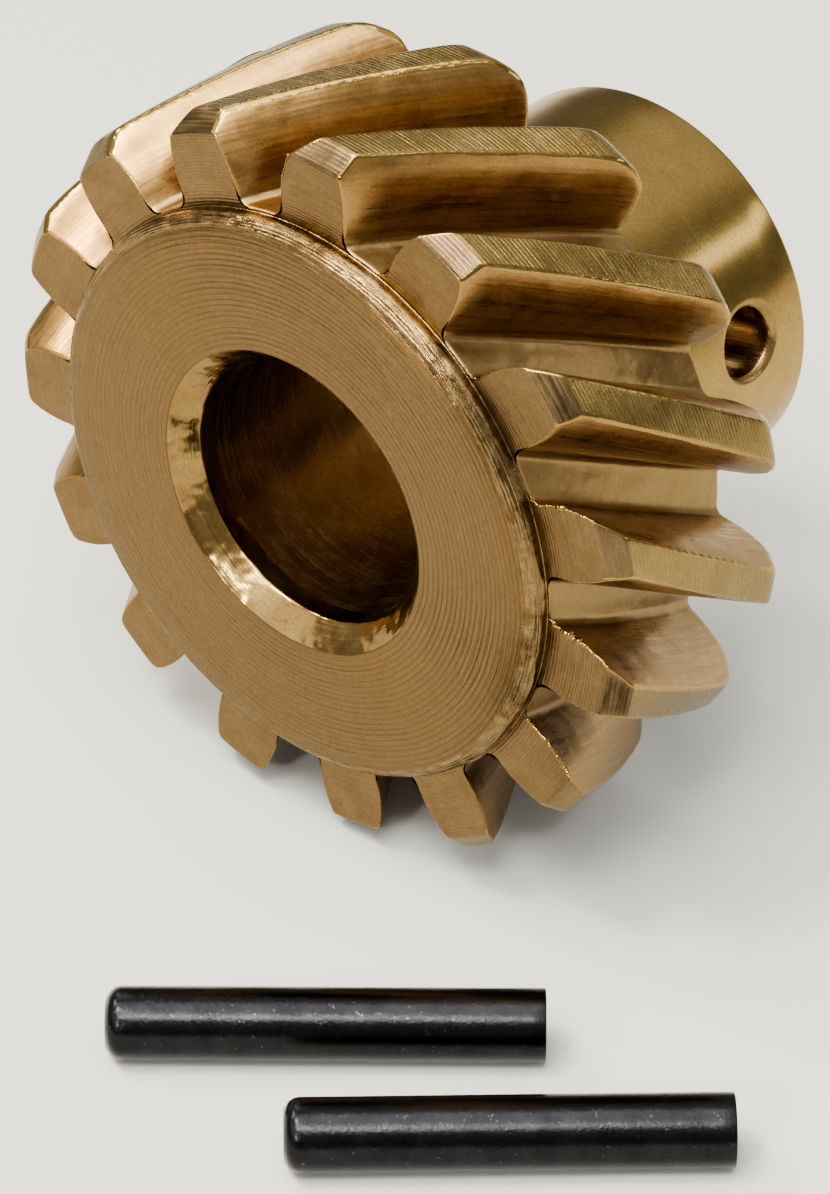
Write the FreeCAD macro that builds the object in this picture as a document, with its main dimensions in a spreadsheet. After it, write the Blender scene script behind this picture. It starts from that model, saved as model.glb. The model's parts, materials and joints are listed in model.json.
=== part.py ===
import FreeCAD, Part
import math
import os
import re

import Sketcher
from FreeCAD import Placement, Rotation, Vector

# A helical drive gear with a plain hub, cut from one piece of bronze, and the two slotted
# spring pins that come with it to fix the hub to its shaft.
#
# Row frame, in millimetres: the bore runs along Y with the boss face towards -Y and the hub
# towards +Y, +Z is up, and the origin is on the bore's axis halfway along the gear.  The gear
# lies on its teeth, and the pins lie loose on the same surface in front of it.

DRIVING_DIMENSIONS = [
    # gear blank
    ("gear_length", 25.0, "boss face to hub end"),
    ("bore_diameter", 12.7, "shaft bore, 1/2 inch"),
    ("mouth_chamfer", 1.1, "bore chamfer at the boss face"),
    ("exit_chamfer", 0.5, "bore chamfer at the hub end"),
    ("face_diameter", 26.6, "flat of the boss face"),
    ("boss_diameter", 27.6, "raised boss in front of the teeth"),
    ("boss_bevel", 0.45, "length of the bevel round the boss face"),
    ("boss_step", 1.0, "boss face to front tooth face"),
    ("tooth_width", 11.7, "front to rear tooth face, along the bore"),
    ("tip_diameter", 36.1, "outside of the teeth"),
    ("tip_chamfer", 0.85, "chamfer of the tooth tips at both faces"),
    ("hub_diameter", 19.05, "hub, 3/4 inch"),
    ("hub_edge", 0.25, "edge break round the hub end"),
    # teeth
    ("tooth_count", 15, "teeth"),
    ("tooth_lead", 163.0, "advance of a tooth in one turn, right-hand"),
    ("root_diameter", 27.9, "floor of the tooth gaps"),
    ("root_half_gap", 5.15, "half of a gap's angle at the root, degrees"),
    ("tip_half_gap", 8.94, "half of a gap's angle at the tip, degrees"),
    ("flank_radius", 5.7, "convex curve of a tooth flank"),
    ("root_fillet", 0.45, "fillet between flank and gap floor"),
    ("first_gap_angle", 99.5, "first gap at the front tooth face, degrees from +X to +Z"),
    ("cutter_overrun", 1.0, "cutter's travel beyond each tooth face and beyond the tips"),
    # cross hole through the hub
    ("hole_diameter", 3.2, "cross hole for a spring pin"),
    ("hole_setback", 4.1, "hub end to the cross hole's axis"),
    ("hole_angle", 12.1, "cross hole's rise from +X to +Z, degrees"),
    ("hole_chamfer", 0.3, "countersink of the cross hole's mouths"),
    # spring pins
    ("pin_diameter", 3.25, "spring pin, 1/8 inch, uncompressed"),
    ("pin_length", 19.05, "spring pin, 3/4 inch"),
    ("pin_wall", 0.7, "thickness of the rolled strip"),
    ("pin_slot", 0.7, "gap between the strip's edges"),
    ("lead_in_depth", 0.5, "radial depth of the lead-in chamfer"),
    ("lead_in_length", 0.65, "axial length of the lead-in chamfer"),
    # where the loose pins lie: centre, heading of the square end, turn of the slot
    ("rear_pin_x", 11.5, "centre of the rear pin"),
    ("rear_pin_y", -23.4, "centre of the rear pin"),
    ("rear_pin_heading", 40.1, "degrees from +X to +Y"),
    ("rear_pin_slot", -15.0, "degrees about the pin, up from level"),
    ("front_pin_x", 22.0, "centre of the front pin"),
    ("front_pin_y", -23.6, "centre of the front pin"),
    ("front_pin_heading", 41.7, "degrees from +X to +Y"),
    ("front_pin_slot", 18.0, "degrees about the pin, up from level"),
]
ALIASES = [alias for alias, value, note in DRIVING_DIMENSIONS]

GEAR = "helical_gear"
PINS = [("spring_pin_rear", "rear_pin"), ("spring_pin_front", "front_pin")]

# Sketcher's names for the ends and centre of an element, and for the sketch's origin.
START, END, CENTRE = 1, 2, 3
ORIGIN = (-1, 1)


# ---------------------------------------------------------------- sheet and sketch helpers

def make_sheet(doc):
    """Put every driving dimension in a spreadsheet cell with an alias."""
    sheet = doc.addObject("Spreadsheet::Sheet", "sizes")
    for row, (alias, value, note) in enumerate(DRIVING_DIMENSIONS, start=1):
        sheet.set("A%d" % row, alias)
        sheet.set("B%d" % row, str(value))
        sheet.set("C%d" % row, note)
        sheet.setAlias("B%d" % row, alias)
    doc.recompute()
    return sheet


def from_sheet(formula):
    """Turn a formula in plain aliases into an expression that reads the sheet."""
    def prefixed(match):
        word = match.group()
        return "sizes." + word if word in ALIASES else word
    return re.sub(r"[a-z_]+", prefixed, formula)


def origin_feature(body, role):
    """The body's own origin plane or axis with this role."""
    for feature in body.Origin.OriginFeatures:
        if feature.Role == role:
            return feature
    raise RuntimeError("no origin feature " + role)


def add_sketch(body, name, plane_role):
    sketch = body.newObject("Sketcher::SketchObject", name)
    sketch.AttachmentSupport = [(origin_feature(body, plane_role), "")]
    sketch.MapMode = "FlatFace"
    return sketch


def drive(sketch, sheet, formula, kind, *places):
    """Add one dimension to the sketch and bind it to the sheet."""
    value = float(sheet.evalExpression(formula))
    index = sketch.addConstraint(Sketcher.Constraint(kind, *places, value))
    sketch.setExpression("Constraints[%d]" % index, from_sheet(formula))


def join(sketch, kind, *places):
    sketch.addConstraint(Sketcher.Constraint(kind, *places))


def arc(centre, radius, start_angle, end_angle):
    """Arc from start_angle anticlockwise to end_angle, in radians."""
    circle = Part.Circle(Vector(centre.x, centre.y, 0), Vector(0, 0, 1), radius)
    return Part.ArcOfCircle(circle, start_angle, end_angle)


def bearing(origin, target):
    """Direction of target seen from origin, from zero to a full turn."""
    return math.atan2(target.y - origin.y, target.x - origin.x) % (2 * math.pi)


def polar(radius, degrees):
    """Point at this radius and at this angle from +Y towards +X."""
    angle = math.radians(degrees)
    return Vector(radius * math.sin(angle), radius * math.cos(angle), 0)


def circle_meeting(centre_a, radius_a, centre_b, radius_b, side):
    """Point at these distances from two centres, left (+1) or right (-1) of the line a to b."""
    line = centre_b - centre_a
    distance = line.Length
    along = (distance ** 2 + radius_a ** 2 - radius_b ** 2) / (2 * distance)
    across = math.sqrt(radius_a ** 2 - along ** 2)
    unit = line / distance
    return centre_a + unit * along + Vector(-unit.y, unit.x, 0) * side * across


# ---------------------------------------------------------------- gear

def draw_blank(sketch, sheet):
    """Half section of the turned blank: x is the radius and y the place along the bore."""
    front = "-gear_length/2"
    tooth_front = front + " + boss_step"
    tooth_rear = tooth_front + " + tooth_width"
    corners = [
        ("bore_diameter/2 + mouth_chamfer", front),
        ("face_diameter/2", front),
        ("boss_diameter/2", front + " + boss_bevel"),
        ("boss_diameter/2", tooth_front),
        ("tip_diameter/2 - tip_chamfer", tooth_front),
        ("tip_diameter/2", tooth_front + " + tip_chamfer"),
        ("tip_diameter/2", tooth_rear + " - tip_chamfer"),
        ("tip_diameter/2 - tip_chamfer", tooth_rear),
        ("hub_diameter/2", tooth_rear),
        ("hub_diameter/2", "gear_length/2 - hub_edge"),
        ("hub_diameter/2 - hub_edge", "gear_length/2"),
        ("bore_diameter/2 + exit_chamfer", "gear_length/2"),
        ("bore_diameter/2", "gear_length/2 - exit_chamfer"),
        ("bore_diameter/2", front + " + mouth_chamfer"),
    ]
    points = [Vector(sheet.evalExpression(x), sheet.evalExpression(y), 0) for x, y in corners]
    for index, point in enumerate(points):
        following = points[(index + 1) % len(points)]
        sketch.addGeometry(Part.LineSegment(point, following))
    for index in range(len(points)):
        join(sketch, "Coincident", index, END, (index + 1) % len(points), START)
    for index, (x, y) in enumerate(corners):
        drive(sketch, sheet, x, "DistanceX", *ORIGIN, index, START)
        drive(sketch, sheet, y, "DistanceY", *ORIGIN, index, START)


def draw_gap(sketch, sheet):
    """Section of one tooth gap, square to the bore and opening towards the sketch's +Y."""
    size = {alias: float(sheet.get(alias)) for alias in ALIASES}
    root_radius = size["root_diameter"] / 2
    tip_radius = size["tip_diameter"] / 2
    fillet = size["root_fillet"]
    flank = size["flank_radius"]
    opening = tip_radius + size["cutter_overrun"]
    middle = Vector(0, 0, 0)

    # The right-hand flank's circle passes through these two points, convex towards the gap.
    root_point = polar(root_radius, size["root_half_gap"])
    tip_point = polar(tip_radius, size["tip_half_gap"])
    flank_centre = circle_meeting(root_point, flank, tip_point, flank, -1)
    fillet_centre = circle_meeting(middle, root_radius + fillet,
                                   flank_centre, flank + fillet, 1)
    rise = opening - flank_centre.y
    flank_top = Vector(flank_centre.x - math.sqrt(flank ** 2 - rise ** 2), opening, 0)

    def mirrored(point):
        return Vector(-point.x, point.y, 0)

    left_flank_centre = mirrored(flank_centre)
    left_fillet_centre = mirrored(fillet_centre)
    floor, right_fillet, right_flank, left_fillet, left_flank, top = range(6)
    sketch.addGeometry(arc(middle, root_radius, bearing(middle, fillet_centre),
                           bearing(middle, left_fillet_centre)))
    sketch.addGeometry(arc(fillet_centre, fillet, bearing(fillet_centre, middle),
                           bearing(fillet_centre, flank_centre)))
    sketch.addGeometry(arc(flank_centre, flank, bearing(flank_centre, flank_top),
                           bearing(flank_centre, fillet_centre)))
    sketch.addGeometry(arc(left_fillet_centre, fillet,
                           bearing(left_fillet_centre, left_flank_centre),
                           bearing(left_fillet_centre, middle)))
    sketch.addGeometry(arc(left_flank_centre, flank,
                           bearing(left_flank_centre, left_fillet_centre),
                           bearing(left_flank_centre, mirrored(flank_top))))
    sketch.addGeometry(Part.LineSegment(flank_top, mirrored(flank_top)))

    join(sketch, "Coincident", floor, CENTRE, *ORIGIN)
    join(sketch, "Tangent", floor, START, right_fillet, START)
    join(sketch, "Tangent", right_fillet, END, right_flank, END)
    join(sketch, "Tangent", floor, END, left_fillet, END)
    join(sketch, "Tangent", left_fillet, START, left_flank, START)
    join(sketch, "Coincident", top, START, right_flank, START)
    join(sketch, "Coincident", top, END, left_flank, END)
    join(sketch, "Horizontal", top)
    drive(sketch, sheet, "root_diameter/2", "Radius", floor)
    for element in (right_fillet, left_fillet):
        drive(sketch, sheet, "root_fillet", "Radius", element)
    for element in (right_flank, left_flank):
        drive(sketch, sheet, "flank_radius", "Radius", element)
    drive(sketch, sheet, "tip_diameter/2 + cutter_overrun", "DistanceY", *ORIGIN, top, START)

    # Each flank is held by two construction points, at the root and at the tip.
    for side, element in ((1, right_flank), (-1, left_flank)):
        for circle, angle in (("root_diameter/2", "root_half_gap"),
                              ("tip_diameter/2", "tip_half_gap")):
            x = "%d*%s*sin(%s)" % (side, circle, angle)
            y = "%s*cos(%s)" % (circle, angle)
            place = Vector(sheet.evalExpression(x), sheet.evalExpression(y), 0)
            point = sketch.addGeometry(Part.Point(place), True)
            drive(sketch, sheet, x, "DistanceX", *ORIGIN, point, START)
            drive(sketch, sheet, y, "DistanceY", *ORIGIN, point, START)
            join(sketch, "PointOnObject", point, START, element)


def cut_teeth(doc, body, sheet):
    """Sweep one gap along its helix and repeat it round the gear."""
    sketch = add_sketch(body, "tooth_gap_section", "XZ_Plane")
    draw_gap(sketch, sheet)
    # The XZ plane's normal points to -Y, so this offset puts the section ahead of the teeth.
    sketch.setExpression(".AttachmentOffset.Base.z", from_sheet(
        "gear_length/2 - boss_step + cutter_overrun"))
    sketch.AttachmentOffset = Placement(Vector(0, 0, 0), Rotation(Vector(0, 0, 1), 1))
    sketch.setExpression(".AttachmentOffset.Rotation.Angle", from_sheet(
        "first_gap_angle - 90 + 360*cutter_overrun/tooth_lead"))

    gap = body.newObject("PartDesign::SubtractiveHelix", "tooth_gap")
    gap.Profile = (sketch, [""])
    gap.ReferenceAxis = (origin_feature(body, "Y_Axis"), [""])
    gap.Mode = "pitch-height-angle"
    gap.setExpression("Pitch", from_sheet("tooth_lead"))
    gap.setExpression("Height", from_sheet("tooth_width + 2*cutter_overrun"))
    gap.Angle = 0
    gap.LeftHanded = False
    gap.Reversed = False
    # Merging faces after the cut would join the helical ones wrongly, so it stays off.
    gap.Refine = False
    doc.recompute()

    teeth = body.newObject("PartDesign::PolarPattern", "all_tooth_gaps")
    teeth.Originals = [gap]
    teeth.Axis = (origin_feature(body, "Y_Axis"), [""])
    teeth.Angle = 360
    teeth.setExpression("Occurrences", from_sheet("tooth_count"))
    teeth.Refine = False
    body.Tip = teeth
    doc.recompute()


def drill_cross_hole(doc, body, sheet):
    """Drill across the hub for a spring pin and break the hole's two mouths."""
    sketch = add_sketch(body, "cross_hole_section", "YZ_Plane")
    # Turning about the sketch's -X, which is the row's -Y, lifts its normal from +X to +Z.
    sketch.AttachmentOffset = Placement(Vector(0, 0, 0), Rotation(Vector(-1, 0, 0), 1))
    sketch.setExpression(".AttachmentOffset.Rotation.Angle", from_sheet("hole_angle"))
    centre = Vector(sheet.evalExpression("gear_length/2 - hole_setback"), 0, 0)
    radius = sheet.evalExpression("hole_diameter/2")
    circle = sketch.addGeometry(Part.Circle(centre, Vector(0, 0, 1), radius))
    drive(sketch, sheet, "gear_length/2 - hole_setback", "DistanceX", *ORIGIN, circle, CENTRE)
    join(sketch, "PointOnObject", circle, CENTRE, -1)
    drive(sketch, sheet, "hole_diameter/2", "Radius", circle)

    hole = body.newObject("PartDesign::Pocket", "cross_hole")
    hole.Profile = (sketch, [""])
    hole.SideType = "Symmetric"
    hole.setExpression("Length", from_sheet("hub_diameter + 2*cutter_overrun"))
    hole.Refine = False
    doc.recompute()

    hub_radius = sheet.evalExpression("hub_diameter/2")
    mouths = []
    for number, edge in enumerate(hole.Shape.Edges, start=1):
        closed = edge.Vertexes and edge.isClosed()
        middle = edge.CenterOfMass
        if not closed or abs(middle.y - centre.x) > radius / 2:
            continue
        if math.hypot(middle.x, middle.z) > hub_radius * 0.9:
            mouths.append("Edge%d" % number)
    chamfer = body.newObject("PartDesign::Chamfer", "cross_hole_mouths")
    chamfer.Base = (hole, mouths)
    chamfer.setExpression("Size", from_sheet("hole_chamfer"))
    chamfer.Refine = False
    body.Tip = chamfer
    doc.recompute()
    return mouths


def make_gear(doc, sheet):
    body = doc.addObject("PartDesign::Body", GEAR)
    body.Label = GEAR
    section = add_sketch(body, "blank_section", "XY_Plane")
    draw_blank(section, sheet)
    blank = body.newObject("PartDesign::Revolution", "blank")
    blank.Profile = (section, [""])
    blank.ReferenceAxis = (section, ["V_Axis"])
    blank.Angle = 360
    doc.recompute()
    report("blank", blank)
    cut_teeth(doc, body, sheet)
    report("toothed", body.Tip)
    print("cross hole mouths:", drill_cross_hole(doc, body, sheet))
    report("drilled", body.Tip)
    return body


# ---------------------------------------------------------------- spring pins

def draw_pin_section(sketch, sheet):
    """C section of a slotted spring pin, with its slot towards the sketch's +X."""
    outer_radius = sheet.evalExpression("pin_diameter/2")
    inner_radius = sheet.evalExpression("pin_diameter/2 - pin_wall")
    half_slot = sheet.evalExpression("pin_slot/2")
    middle = Vector(0, 0, 0)
    full_turn = 2 * math.pi
    outer_angle = math.asin(half_slot / outer_radius)
    inner_angle = math.asin(half_slot / inner_radius)
    outer, inner, upper, lower = range(4)
    sketch.addGeometry(arc(middle, outer_radius, outer_angle, full_turn - outer_angle))
    sketch.addGeometry(arc(middle, inner_radius, inner_angle, full_turn - inner_angle))
    for side in (1, -1):
        inside = Vector(inner_radius * math.cos(inner_angle), side * half_slot, 0)
        outside = Vector(outer_radius * math.cos(outer_angle), side * half_slot, 0)
        sketch.addGeometry(Part.LineSegment(inside, outside))
    join(sketch, "Coincident", outer, CENTRE, *ORIGIN)
    join(sketch, "Coincident", inner, CENTRE, *ORIGIN)
    join(sketch, "Coincident", upper, START, inner, START)
    join(sketch, "Coincident", upper, END, outer, START)
    join(sketch, "Coincident", lower, START, inner, END)
    join(sketch, "Coincident", lower, END, outer, END)
    join(sketch, "Horizontal", upper)
    join(sketch, "Horizontal", lower)
    drive(sketch, sheet, "pin_diameter/2", "Radius", outer)
    drive(sketch, sheet, "pin_diameter/2 - pin_wall", "Radius", inner)
    drive(sketch, sheet, "pin_slot/2", "DistanceY", *ORIGIN, upper, START)
    drive(sketch, sheet, "pin_slot/2", "DistanceY", lower, START, *ORIGIN)


def make_pin(doc, sheet, label, place):
    """A pin along its body's X axis, lead-in end at -X, laid on the gear's resting surface."""
    body = doc.addObject("PartDesign::Body", label)
    body.Label = label
    sketch = add_sketch(body, label + "_section", "YZ_Plane")
    draw_pin_section(sketch, sheet)
    sketch.AttachmentOffset = Placement(Vector(0, 0, 0), Rotation(Vector(0, 0, 1), 1))
    sketch.setExpression(".AttachmentOffset.Rotation.Angle", from_sheet(place + "_slot"))
    strip = body.newObject("PartDesign::Pad", label + "_rolled_strip")
    strip.Profile = (sketch, [""])
    strip.SideType = "Symmetric"
    strip.setExpression("Length", from_sheet("pin_length"))
    doc.recompute()

    half_length = sheet.evalExpression("pin_length/2")
    outer_radius = sheet.evalExpression("pin_diameter/2")
    rims = []
    for number, edge in enumerate(strip.Shape.Edges, start=1):
        at_lead_in = abs(edge.CenterOfMass.x + half_length) < 0.01
        if at_lead_in and isinstance(edge.Curve, Part.Circle):
            if abs(edge.Curve.Radius - outer_radius) < 0.01:
                rims.append("Edge%d" % number)
    lead_in = body.newObject("PartDesign::Chamfer", label + "_lead_in")
    lead_in.Base = (strip, rims)
    lead_in.ChamferType = "Two distances"
    lead_in.setExpression("Size", from_sheet("lead_in_depth"))
    lead_in.setExpression("Size2", from_sheet("lead_in_length"))
    body.Tip = lead_in

    body.Placement = Placement(Vector(0, 0, 0), Rotation(Vector(0, 0, 1), 1))
    body.setExpression(".Placement.Base.x", from_sheet(place + "_x"))
    body.setExpression(".Placement.Base.y", from_sheet(place + "_y"))
    body.setExpression(".Placement.Base.z", from_sheet("-tip_diameter/2 + pin_diameter/2"))
    body.setExpression(".Placement.Rotation.Angle", from_sheet(place + "_heading"))
    doc.recompute()
    report(label, body.Tip)
    return body


# ---------------------------------------------------------------- checks and files

def report(name, feature):
    shape = feature.Shape
    print("%s: volume %.2f mm3, valid %s, faces %d"
          % (name, shape.Volume, shape.isValid(), len(shape.Faces)))


def check_document(doc, bodies):
    """Stop unless every object recomputed and every body is one valid solid."""
    for item in doc.Objects:
        if "Invalid" in item.State or "Error" in item.State:
            raise RuntimeError("%s did not recompute: %s" % (item.Name, item.State))
    for body in bodies:
        shape = body.Shape
        if shape.isNull() or not shape.isValid() or len(shape.Solids) != 1:
            raise RuntimeError("%s is not one valid solid" % body.Label)


def check_cuts(body):
    """Stop if a cutting feature left the gear's volume as it was."""
    steps = [body.Document.getObject(name)
             for name in ("blank", "tooth_gap", "all_tooth_gaps", "cross_hole",
                          "cross_hole_mouths")]
    for before, after in zip(steps, steps[1:]):
        if after.Shape.Volume > before.Shape.Volume - 0.1:
            raise RuntimeError("%s cuts nothing" % after.Name)


def main():
    doc = FreeCAD.newDocument("helical_drive_gear")
    sheet = make_sheet(doc)
    gear = make_gear(doc, sheet)
    bodies = [gear]
    for label, place in PINS:
        bodies.append(make_pin(doc, sheet, label, place))
    doc.recompute()
    check_document(doc, bodies)
    check_cuts(gear)
    os.makedirs("parts", exist_ok=True)
    for body in bodies:
        body.Shape.exportStep(os.path.join("parts", body.Label + ".step"))
        box = body.Shape.BoundBox
        print("%s: x %.2f to %.2f, y %.2f to %.2f, z %.2f to %.2f"
              % (body.Label, box.XMin, box.XMax, box.YMin, box.YMax, box.ZMin, box.ZMax))


main()
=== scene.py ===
import json
import math

import bmesh
import bpy
import numpy as np
from mathutils import Matrix, Vector


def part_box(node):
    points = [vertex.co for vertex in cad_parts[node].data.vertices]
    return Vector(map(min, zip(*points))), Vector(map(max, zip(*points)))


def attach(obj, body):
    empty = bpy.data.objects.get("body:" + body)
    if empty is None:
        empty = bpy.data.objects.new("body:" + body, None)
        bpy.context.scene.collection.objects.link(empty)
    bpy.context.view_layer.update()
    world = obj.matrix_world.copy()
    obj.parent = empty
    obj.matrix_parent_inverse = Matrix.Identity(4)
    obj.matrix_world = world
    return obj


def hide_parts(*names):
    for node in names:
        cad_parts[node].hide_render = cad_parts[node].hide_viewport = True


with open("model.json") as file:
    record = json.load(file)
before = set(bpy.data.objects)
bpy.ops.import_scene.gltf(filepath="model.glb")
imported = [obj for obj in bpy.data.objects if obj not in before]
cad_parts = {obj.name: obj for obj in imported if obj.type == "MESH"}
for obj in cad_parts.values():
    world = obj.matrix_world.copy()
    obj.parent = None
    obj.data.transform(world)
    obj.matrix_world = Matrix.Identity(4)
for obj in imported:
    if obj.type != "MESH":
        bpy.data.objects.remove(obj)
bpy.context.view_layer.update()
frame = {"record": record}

MM = 0.001
gear_low, gear_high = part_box("helical_gear")
mounts = {mount["name"]: mount for mount in frame["record"]["mounts"]}
random = np.random.default_rng(15)

# ---------------------------------------------------------------- gear, sizes and tooth profile
# Gear sizes in mm, turns in degrees. Overall sizes come from the CAD box and the mounts.
TEETH = 15
PITCH = 360.0 / TEETH
LEAD = 163.0
FRONT = gear_low.y / MM
BACK = gear_high.y / MM
TIP_RADIUS = gear_high.x / MM
BORE_RADIUS = mounts["shaft_bore"]["dims"]["r_mm"]
ROOT_RADIUS = 13.95
ROOT_HALF_GAP = math.radians(5.15)
TIP_HALF_GAP = math.radians(8.94)
FLANK_RADIUS = 5.7
FILLET_RADIUS = 0.45
TIP_CHAMFER = 0.85
FIRST_GAP = 99.5
TOOTH_FRONT = FRONT + 1.0
TOOTH_BACK = TOOTH_FRONT + 11.7
FACE_RADIUS = 13.3
BOSS_RADIUS = 13.8
FOOT_RADIUS = 13.87
HUB_RADIUS = 9.525
HUB_FOOT_FILLET = 0.4
MOUTH_CHAMFER = 1.1
EXIT_CHAMFER = 0.5
HUB_CHAMFER = 0.25
BORE_START = FRONT + MOUTH_CHAMFER + 1.0

# Edges, in mm: how far they are rounded and wander, and how much more on worn teeth and at the teeth's
# rear ends. MOST_WORN is a direction in degrees.
FACE_EDGE = 0.06
REAR_EDGE = 0.2
CORNER_EASE = 0.13
CORNER_WANDER = 0.05
WORN_EASE = 0.22
REAR_EASE = 0.55
REAR_EASE_REACH = 1.3
CHAMFER_SOFTNESS = 0.035
WORN_SOFTNESS = 0.16
REAR_SOFTNESS = 0.2
MOST_WORN = 190
RIM_WANDER = 0.04
RIM_LUMPS = 0.012
BURR_HEIGHT = 0.035
BURR_SHARES = np.array([0.3, 1, 0.7, 0.15])

# Segments of half a tooth pitch: gap floor, fillet, flank, rounded corner, land.
FLOOR_STEPS, FILLET_STEPS, FLANK_STEPS, CORNER_STEPS, LAND_STEPS = 2, 4, 7, 3, 4
HALF = FLOOR_STEPS + FILLET_STEPS + FLANK_STEPS + CORNER_STEPS + LAND_STEPS
AROUND = 2 * HALF * TEETH
UNIFORM = np.arange(AROUND) * 360.0 / AROUND


def meeting(centre, radius, distance):
    """The points of the circle about centre, on its gap side, at the given distances from the origin."""
    reach = np.hypot(*centre)
    along = (distance**2 - radius**2 + reach**2) / (2 * reach)
    off = np.sqrt(np.maximum(distance**2 - along**2, 0))
    ux, uy = centre[0] / reach, centre[1] / reach
    return ux * along - uy * off, uy * along + ux * off


def flank_centre():
    """The centre of the flank's arc, with the gap's middle on the second axis and the tooth to the right."""
    root = np.array([math.sin(ROOT_HALF_GAP), math.cos(ROOT_HALF_GAP)]) * ROOT_RADIUS
    tip = np.array([math.sin(TIP_HALF_GAP), math.cos(TIP_HALF_GAP)]) * TIP_RADIUS
    chord = tip - root
    length = np.hypot(*chord)
    inward = np.array([chord[1], -chord[0]]) / length
    return (root + tip) / 2 + inward * math.sqrt(FLANK_RADIUS**2 - length**2 / 4)


FLANK_CENTRE = flank_centre()
FILLET_CENTRE = np.array(meeting(FLANK_CENTRE, FLANK_RADIUS + FILLET_RADIUS, ROOT_RADIUS + FILLET_RADIUS))


def half_gap(land, inset, ease):
    """Radius, and angle in degrees from the gap's middle, along the profile from gap to tooth.

    Land is the tooth's outer radius, inset how far the profile is pushed into the metal, and ease
    how far the corner between flank and land is rounded.
    """
    fillet_angle = math.atan2(FILLET_CENTRE[0], FILLET_CENTRE[1])
    floor = np.linspace(0, fillet_angle, FLOOR_STEPS + 1)
    xs = [(ROOT_RADIUS - inset) * np.sin(floor)]
    ys = [(ROOT_RADIUS - inset) * np.cos(floor)]
    start = math.atan2(-FILLET_CENTRE[1], -FILLET_CENTRE[0])
    to_flank = FLANK_CENTRE - FILLET_CENTRE
    end = math.atan2(to_flank[1], to_flank[0])
    turn = np.linspace(start, end, FILLET_STEPS + 1)[1:]
    xs.append(FILLET_CENTRE[0] + (FILLET_RADIUS + inset) * np.cos(turn))
    ys.append(FILLET_CENTRE[1] + (FILLET_RADIUS + inset) * np.sin(turn))
    low = math.hypot(xs[-1][-1], ys[-1][-1])
    climb = np.linspace(low, land - ease, FLANK_STEPS + 1)[1:]
    x, y = meeting(FLANK_CENTRE, FLANK_RADIUS - inset, climb)
    xs.append(x)
    ys.append(y)
    x, y = np.concatenate(xs), np.concatenate(ys)
    radius, angle = np.hypot(x, y), np.arctan2(x, y)
    corner = math.atan2(*meeting(FLANK_CENTRE, FLANK_RADIUS - inset, land))
    t = np.linspace(0, 1, CORNER_STEPS + 1)[1:]
    land_start = corner + ease / land
    corner_r = (1 - t)**2 * radius[-1] + 2 * t * (1 - t) * land + t**2 * land
    corner_a = (1 - t)**2 * angle[-1] + 2 * t * (1 - t) * corner + t**2 * land_start
    flat = np.linspace(land_start, math.pi / TEETH, LAND_STEPS + 1)[1:]
    radius = np.concatenate([radius, corner_r, np.full(LAND_STEPS, land)])
    angle = np.concatenate([angle, corner_a, flat])
    return radius, np.degrees(angle)


def smooth_noise(count, step):
    """A seeded wandering line of the given length, between about -1 and 1."""
    knots = random.uniform(-1, 1, int(count / step) + 3)
    return np.interp(np.arange(count) / step, np.arange(len(knots)), knots)


def twist(y):
    """How far the helix has turned the teeth at y, in degrees."""
    return -360.0 / LEAD * (y - TOOTH_FRONT)


def ring(radius, angle, y):
    """A loop of points at the given radius, angle in degrees and y, each a number or one per column."""
    angle = np.radians(angle)
    flat = np.ones(AROUND)
    return np.stack([radius * np.cos(angle) * flat, y * flat, radius * np.sin(angle) * flat], 1)


def wear(tooth):
    """How worn a tooth's edges are, from 0 to 1."""
    middle = FIRST_GAP + (tooth + 0.5) * PITCH
    return max(0.0, math.cos(math.radians(middle - MOST_WORN))) ** 0.7


def land_radius(y, worn=0.0):
    """The land with its chamfer at both ends of the teeth, each blending softly into the land."""
    drop = 0.0
    front = TIP_CHAMFER - (y - TOOTH_FRONT)
    rear = TIP_CHAMFER - (TOOTH_BACK - y)
    for depth, soft in ((front, CHAMFER_SOFTNESS + WORN_SOFTNESS * worn), (rear, REAR_SOFTNESS)):
        drop += soft * math.log1p(math.exp(min(depth / soft, 60)))
    return TIP_RADIUS - drop


def tooth_ring(y, inset, eases, burrs):
    """One closed loop of the toothed band at y, with its radii and angles.

    Eases and burrs have a value for each tooth corner, two for each gap.
    """
    radius = np.empty(AROUND)
    angle = np.empty(AROUND)
    rear_ease = REAR_EASE * max(0.0, 1 - (TOOTH_BACK - y) / REAR_EASE_REACH) ** 1.4
    for gap in range(TEETH):
        first = FIRST_GAP + gap * PITCH + twist(y)
        for side in (0, 1):
            edge = 2 * gap + side
            worn = wear(gap - side)
            land = land_radius(y, worn) - inset
            r, a = half_gap(land, inset, eases[edge] + WORN_EASE * worn + rear_ease)
            corner = slice(HALF - LAND_STEPS - CORNER_STEPS, HALF - LAND_STEPS + 1)
            r[corner] += burrs[edge] * BURR_SHARES
            base = gap * 2 * HALF
            if side == 0:
                radius[base:base + HALF + 1] = r
                angle[base:base + HALF + 1] = first + a
            else:
                radius[base + HALF + 1:base + 2 * HALF] = r[-2:0:-1]
                angle[base + HALF + 1:base + 2 * HALF] = first + PITCH - a[-2:0:-1]
    return ring(radius, angle, y), radius, angle


def rounded(path, steps=3):
    """Turns a path of (radius, y, rounding) corners into points with each corner rounded."""
    corners = np.array([p[:2] for p in path], float)
    points = [corners[0]]
    for i in range(1, len(corners) - 1):
        here, rounding = corners[i], path[i][2]
        if rounding == 0:
            points.append(here)
            continue
        sides = []
        for other in (corners[i - 1], corners[i + 1]):
            gap = np.hypot(*(other - here))
            sides.append(here + (other - here) * min(rounding / gap, 0.45))
        for t in np.linspace(0, 1, steps):
            points.append((1 - t)**2 * sides[0] + 2 * t * (1 - t) * here + t**2 * sides[1])
    points.append(corners[-1])
    return np.array(points)


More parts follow.
